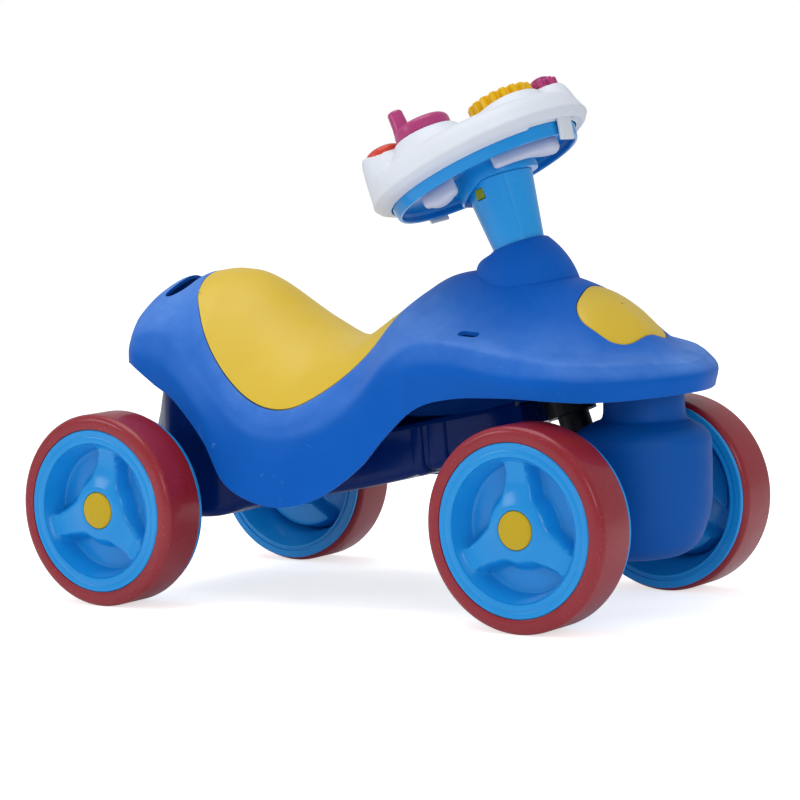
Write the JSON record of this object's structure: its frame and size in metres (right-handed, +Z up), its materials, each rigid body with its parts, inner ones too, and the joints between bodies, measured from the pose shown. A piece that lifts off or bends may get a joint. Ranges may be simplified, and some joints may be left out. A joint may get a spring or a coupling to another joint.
{
  "type": "kids ride-on car",
  "caption": "Low foot-to-floor ride-on with a saddle-shaped moulded body, fixed seat pad, wide wheels, tilted steering column and a round activity console as its steering wheel.",
  "frame": {"origin": "on the floor, in the middle of the car's length and width", "axes": "+X forward along the car's length, +Y to the rider's left, +Z up"},
  "size_m": [0.6069, 0.328, 0.4491],
  "materials": {
    "body_blue": "matt moulded royal blue polyethylene",
    "seat_yellow": "matt yellow plastic",
    "chassis_navy": "glossy dark blue plastic",
    "sky_blue": "glossy light blue plastic",
    "tyre_red": "dark red soft plastic with a shiny shoulder",
    "cap_yellow": "yellow plastic",
    "shell_white": "white plastic",
    "magenta": "magenta plastic",
    "horn_red": "red plastic",
    "gear_yellow": "yellow plastic",
    "frame_black": "black plastic",
    "steel": "plain steel",
    "tab_green": "yellow-green plastic"
  },
  "bodies": {
    "body": {"saddle_shell": "body_blue", "seat_pad": "seat_yellow", "hood_lamp": "seat_yellow", "chassis_tray": "chassis_navy", "steering_bearing": "frame_black", "rear_axle": "steel", "rear_left_axle_lock": "steel", "rear_right_axle_lock": "steel", "chassis_screw_rear_left": "steel", "chassis_screw_rear_right": "steel", "chassis_screw_middle_left": "steel", "chassis_screw_middle_right": "steel", "chassis_screw_front_left": "steel", "chassis_screw_front_right": "steel"},
    "steering": {"steering_tube": "frame_black", "column_cover": "sky_blue", "lock_tab": "tab_green", "wheel_base": "sky_blue", "wheel_shell": "shell_white", "grip_bar_front": "shell_white", "grip_bar_rear": "shell_white", "front_fairing": "body_blue", "front_axle": "steel", "front_left_axle_lock": "steel", "front_right_axle_lock": "steel", "crank_pin": "magenta", "big_gear_pin": "gear_yellow", "small_gear_pin": "magenta", "horn_switch": "frame_black"},
    "rear_left_wheel": {"rear_left_rim": "sky_blue", "rear_left_tyre": "tyre_red", "rear_left_hub_cap": "cap_yellow"},
    "rear_right_wheel": {"rear_right_rim": "sky_blue", "rear_right_tyre": "tyre_red", "rear_right_hub_cap": "cap_yellow"},
    "front_left_wheel": {"front_left_rim": "sky_blue", "front_left_tyre": "tyre_red", "front_left_hub_cap": "cap_yellow"},
    "front_right_wheel": {"front_right_rim": "sky_blue", "front_right_tyre": "tyre_red", "front_right_hub_cap": "cap_yellow"},
    "crank": {"crank_knob": "magenta"},
    "driving_gear": {"big_gear": "gear_yellow"},
    "driven_gear": {"small_gear": "magenta"},
    "horn": {"horn_button": "horn_red"}
  },
  "joints": [
    {"name": "steering_turn", "type": "hinge", "parent": "body", "child": "steering", "pos_m": [0.2044, 0, 0.085], "axis": [-0.3206, 0, 0.9472], "range_deg": [-20, 20]},
    {"name": "rear_left_wheel_spin", "type": "hinge", "parent": "body", "child": "rear_left_wheel", "pos_m": [-0.2184, 0.139, 0.085], "axis": [0, 1, 0], "continuous": true},
    {"name": "rear_right_wheel_spin", "type": "hinge", "parent": "body", "child": "rear_right_wheel", "pos_m": [-0.2184, -0.139, 0.085], "axis": [0, 1, 0], "continuous": true},
    {"name": "front_left_wheel_spin", "type": "hinge", "parent": "steering", "child": "front_left_wheel", "pos_m": [0.2044, 0.115, 0.085], "axis": [0, 1, 0], "continuous": true},
    {"name": "front_right_wheel_spin", "type": "hinge", "parent": "steering", "child": "front_right_wheel", "pos_m": [0.2044, -0.115, 0.085], "axis": [0, 1, 0], "continuous": true},
    {"name": "crank_spin", "type": "hinge", "parent": "steering", "child": "crank", "pos_m": [0.06645, -0.043, 0.40248], "axis": [-0.4384, 0, 0.8988], "continuous": true},
    {"name": "big_gear_spin", "type": "hinge", "parent": "steering", "child": "driving_gear", "pos_m": [0.10732, 0.0155, 0.42475], "axis": [-0.4384, 0, 0.8988], "continuous": true},
    {"name": "small_gear_spin", "type": "hinge", "parent": "steering", "child": "driven_gear", "pos_m": [0.12945, 0.04668, 0.43554], "axis": [-0.4384, 0, 0.8988], "continuous": true},
    {"name": "horn_press", "type": "slide", "parent": "steering", "child": "horn", "axis": [0.4384, 0, -0.8988], "range_m": [0, 0.003], "stiffness_N_per_m": 300}
  ],
  "couplings": [
    {"joint": "small_gear_spin", "follows": "big_gear_spin", "ratio": -2.25}
  ]
}
